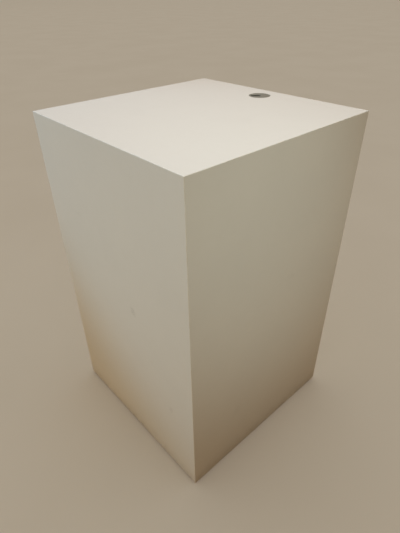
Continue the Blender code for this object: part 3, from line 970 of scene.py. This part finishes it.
def make_cap(finish):
    """The turning cap: a disc with eased edges, slot and all, on a skirt that clips into the insert."""
    ease, under = 0.5 * MM, 0.25 * MM
    turns = [math.radians(90 * i / 4) for i in range(5)]
    steps = [(under, -CAP_THICK), (0, -CAP_THICK + under)]
    steps += [(ease * (1 - math.cos(t)), -ease * (1 - math.sin(t))) for t in turns]
    rings = [slotted_outline(CAP_RADIUS, inset, height) for inset, height in steps]
    cap = add_object("grommet_lid", lofted_mesh("grommet_lid", rings), finish)
    skirt = 22.2 * MM
    profile = [
        (skirt - PLASTIC, -CAP_THICK / 2),
        (skirt - PLASTIC, -CAP_SKIRT),
        (skirt, -CAP_SKIRT),
        (skirt, SNAP_HEIGHT - SNAP_BEAD / 2),
        (skirt + SNAP_BEAD, SNAP_HEIGHT),
        (skirt, SNAP_HEIGHT + SNAP_BEAD / 2),
        (skirt, -CAP_THICK / 2),
    ]
    collar = add_object("collar", turned_mesh("collar", fillet(profile, 0.2 * MM, 2), GROMMET_SIDES), finish)
    radius = SLOT_WIDTH / 2
    reach, past = 2 * CAP_RADIUS, 2 * CAP_SKIRT
    outline = [(reach, -radius), (reach, radius), *arc((SLOT_END, 0), radius, 90, 270, SLOT_STEPS)]
    rings = [[(x, y, z) for x, y in outline] for z in (-past, past)]
    gap = add_object("slot", lofted_mesh("slot", rings), finish)
    carve(collar, [gap])
    carve(cap, [collar], "UNION")
    shade(cap.data, 38)
    remove([collar, gap])
    cap.matrix_world = Matrix.Translation(GROMMET_AXIS) @ Matrix.Rotation(SLOT_HEADING, 4, "Z")
    finish_piece(cap, "grommet_cap", "cap")


def make_insert(finish):
    """The lift-out insert: a ring on the sleeve's ledge with a groove for the cap, floored on one side."""
    outer, wall, foot_radius = CAP_RADIUS, CAP_RADIUS - 2 * MM, 23.0 * MM
    hole = foot_radius - PLASTIC
    depth, floor = 8.2 * MM, 1.4 * MM
    foot, top, lip = -LEDGE_DEPTH + TOUCH, -CAP_THICK - TOUCH, -CAP_SKIRT - 0.4 * MM
    groove = wall + SNAP_BEAD
    profile = [
        (foot_radius, -depth),
        (foot_radius, foot),
        (outer, foot),
        (outer, top),
        (wall, top),
        (wall, SNAP_HEIGHT + SNAP_BEAD),
        (groove, SNAP_HEIGHT + SNAP_BEAD / 2),
        (groove, SNAP_HEIGHT - SNAP_BEAD / 2),
        (wall, SNAP_HEIGHT - SNAP_BEAD),
        (wall, lip),
        (hole, lip),
        (hole, -depth),
    ]
    mesh = turned_mesh("grommet_carrier", fillet(profile, 0.3 * MM), GROMMET_SIDES)
    insert = add_object("grommet_carrier", mesh, finish)
    edge = 4 * MM  # open from here to the rim, under the slot
    reach = hole + PLASTIC / 2
    end = math.degrees(math.acos(edge / reach))
    outline = arc((0, 0), reach, end, 360 - end, 90)
    rings = [[(x, y, z) for x, y in outline] for z in (-depth + 0.05 * MM, -depth + floor)]
    web = add_object("web", lofted_mesh("web", rings), finish)
    carve(insert, [web], "UNION")
    shade(insert.data, 38)
    remove([web])
    insert.matrix_world = Matrix.Translation(GROMMET_AXIS) @ Matrix.Rotation(SLOT_HEADING, 4, "Z")
    finish_piece(insert, "grommet_insert", "insert")


# ---------------------------------------------------------------- stage, light and camera


def make_stage():
    shape = bmesh.new()
    bmesh.ops.create_circle(shape, cap_ends=True, segments=128, radius=FLOOR_RADIUS)
    floor = add_object("studio_floor", mesh_of("studio_floor", shape), floor_material())
    return floor


def add_lamp(name, data, place, target, power, colour):
    data.energy = power
    data.color = colour
    lamp = bpy.data.objects.new(name, data)
    bpy.context.scene.collection.objects.link(lamp)
    lamp.location = place
    lamp.rotation_euler = (Vector(target) - Vector(place)).to_track_quat("-Z", "Y").to_euler()
    return lamp


def softbox(name, place, target, size, power, colour):
    data = bpy.data.lights.new(name, "AREA")
    data.shape = "RECTANGLE"
    data.size, data.size_y = size
    return add_lamp(name, data, place, target, power, colour)


def soft_spot(name, place, target, cone, blend, power, colour):
    data = bpy.data.lights.new(name, "SPOT")
    data.spot_size = math.radians(cone)
    data.spot_blend = blend
    data.shadow_soft_size = SPOT_RADIUS
    return add_lamp(name, data, place, target, power, colour)


def aim_lamps(lamps, floor, state):
    """Limits lamps to the floor (INCLUDE) or to all but the floor (EXCLUDE), so that it stays plain."""
    group = bpy.data.collections.new(f"floor_{state.lower()}")
    group.objects.link(floor)
    group.collection_objects[0].light_linking.link_state = state
    for lamp in lamps:
        lamp.light_linking.receiver_collection = group


def make_world():
    """Dim warm surroundings, which the camera itself sees as a pale wall."""
    world = bpy.data.worlds.new("studio")
    bpy.context.scene.world = world
    world.use_nodes = True
    nodes, links = world.node_tree.nodes, world.node_tree.links
    ambient = nodes["Background"]
    ambient.inputs["Color"].default_value = (1.0, 0.83, 0.55, 1)
    ambient.inputs["Strength"].default_value = 0.06
    wall = nodes.new("ShaderNodeBackground")
    wall.inputs["Color"].default_value = (0.47, 0.41, 0.32, 1)
    seen = nodes.new("ShaderNodeLightPath")
    choice = nodes.new("ShaderNodeMixShader")
    links.new(seen.outputs["Is Camera Ray"], choice.inputs["Fac"])
    links.new(ambient.outputs[0], choice.inputs[1])
    links.new(wall.outputs[0], choice.inputs[2])
    links.new(choice.outputs[0], nodes["World Output"].inputs["Surface"])


def make_light(floor):
    """An even wash on the floor; a softbox over the plinth, and a soft pool or a fill for each side of it."""
    make_world()
    lid = (0, 0, HEIGHT)
    middle = (0, 0, 0.55)
    wash = softbox("floor_wash", (0, 0, 14), lid, (160, 160), 37600, (1.0, 0.95, 0.87))
    aim_lamps([wash], floor, "INCLUDE")
    lamps = [
        softbox("overhead", (0, 0, 3.6), lid, (2.0, 2.0), 61.5, (1.0, 0.865, 0.765)),
        softbox("low_fill", (-0.5, -2.6, 0.5), middle, (1.4, 0.8), 8.9, (1.0, 0.82, 0.53)),
        softbox("rear_fill", (-1.9, 2.2, 0.7), (0, 0, 0.5), (1.5, 0.55), 34, (0.90, 0.98, 0.92)),
        soft_spot("front_pool", (-2.3, -1.9, 2.2), (0.35, -HALF, 1.1), 37, 0.44, 158, (0.40, 0.73, 0.98)),
        soft_spot("right_pool", (2.5, -1.0, 2.6), (HALF, -0.07, 0.84), 23.5, 1.0, 115, (0.83, 1.0, 0.94)),
    ]
    aim_lamps(lamps, floor, "EXCLUDE")


def make_camera():
    data = bpy.data.cameras.new("camera")
    data.lens = CAMERA_LENS
    data.sensor_width = CAMERA_SENSOR
    camera = bpy.data.objects.new("camera", data)
    bpy.context.scene.collection.objects.link(camera)
    turn = Matrix.Rotation(CAMERA_HEADING, 4, "Z")
    turn = turn @ Matrix.Rotation(math.radians(90) + CAMERA_TILT, 4, "X")
    turn = turn @ Matrix.Rotation(CAMERA_ROLL, 4, "Z")
    camera.matrix_world = Matrix.Translation(CAMERA_PLACE) @ turn
    bpy.context.scene.camera = camera


def main():
    paint, mdf, softwood = paint_material(), mdf_material(), softwood_material()
    plastic, nylon, zinc = plastic_material(), nylon_material(), zinc_material()
    holes = make_screws(zinc, softwood)
    arch = make_boards(paint, mdf, holes)
    for node in sorted(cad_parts):
        if node.startswith(("corner_post", "top_batten", "base_rail")):
            cutters = holes + ([arch] if node == "base_rail_back" else [])
            make_timber(node, softwood, cutters)
    remove(holes + [arch])
    make_glides(nylon)
    make_sleeve(plastic)
    make_insert(plastic)
    make_cap(plastic)
    make_light(make_stage())
    make_camera()
    bpy.context.scene.view_settings.view_transform = "Standard"


main()
